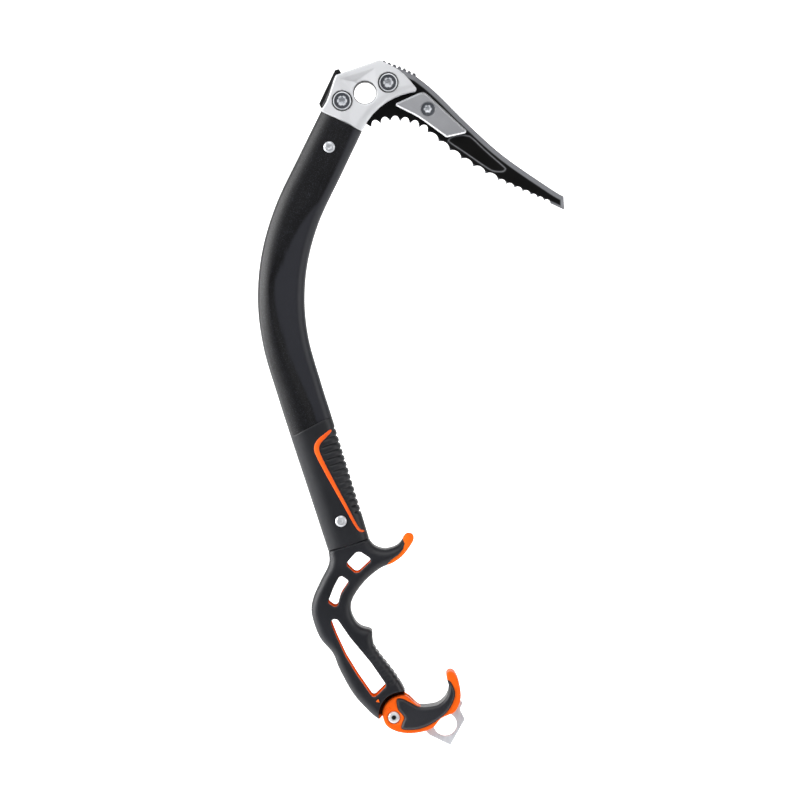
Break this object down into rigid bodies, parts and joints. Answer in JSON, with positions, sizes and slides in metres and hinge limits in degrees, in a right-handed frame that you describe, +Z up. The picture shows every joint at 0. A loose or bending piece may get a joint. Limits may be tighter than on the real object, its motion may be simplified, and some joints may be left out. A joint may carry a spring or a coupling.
{
  "type": "ice axe",
  "caption": "Curved technical ice axe: tube shaft, slotted head with a bolted toothed pick, moulded handle with finger rest, and a turning lower hand rest with steel spike.",
  "frame": {"origin": "centre of the carabiner eye in the head, on the axe's middle plane", "axes": "+Z up along the standing axe towards the head, +X the way the pick points, +Y towards the axe's left side"},
  "size_m": [0.2234, 0.026, 0.4999],
  "materials": {
    "shaft_black": "black satin anodised",
    "head_grey": "light grey satin coating",
    "cap_black": "glossy black",
    "pick_black": "black oxide with ground edges",
    "bolt_steel": "bright steel",
    "weight_grey": "blasted steel with bright edges",
    "rivet_steel": "bright steel",
    "sleeve_rubber": "soft matt",
    "stripe_orange": "satin",
    "core_orange": "satin",
    "grip_rubber": "soft matt",
    "pointer_orange": "satin",
    "rest_orange": "satin",
    "pad_rubber": "soft matt",
    "spike_steel": "ground steel",
    "pin_steel": "plain steel",
    "bush_bronze": "turned"
  },
  "bodies": {
    "axe": {"shaft": "shaft_black", "head": "head_grey", "rear_cap": "cap_black", "pick": "pick_black", "front_pick_bolt": "bolt_steel", "rear_pick_bolt": "bolt_steel", "front_pick_nut": "bolt_steel", "rear_pick_nut": "bolt_steel", "right_pick_weight": "weight_grey", "left_pick_weight": "weight_grey", "weight_screw": "bolt_steel", "weight_nut": "bolt_steel", "upper_rivet": "rivet_steel", "lower_rivet": "rivet_steel", "grip_sleeve": "sleeve_rubber", "right_stripe": "stripe_orange", "left_stripe": "stripe_orange", "handle_core": "core_orange", "handle_grip": "grip_rubber", "size_pointer": "pointer_orange", "pivot_bush": "bush_bronze"},
    "lower_rest": {"hand_rest": "rest_orange", "hand_rest_pad": "pad_rubber", "spike": "spike_steel", "spike_pins": "pin_steel", "pivot_bolt": "bolt_steel", "pivot_nut": "bolt_steel"}
  },
  "joints": [
    {"name": "rest_size", "type": "hinge", "parent": "axe", "child": "lower_rest", "pos_m": [0.021, 0, -0.4547], "axis": [0, -1, 0], "range_deg": [-16, 16]}
  ]
}
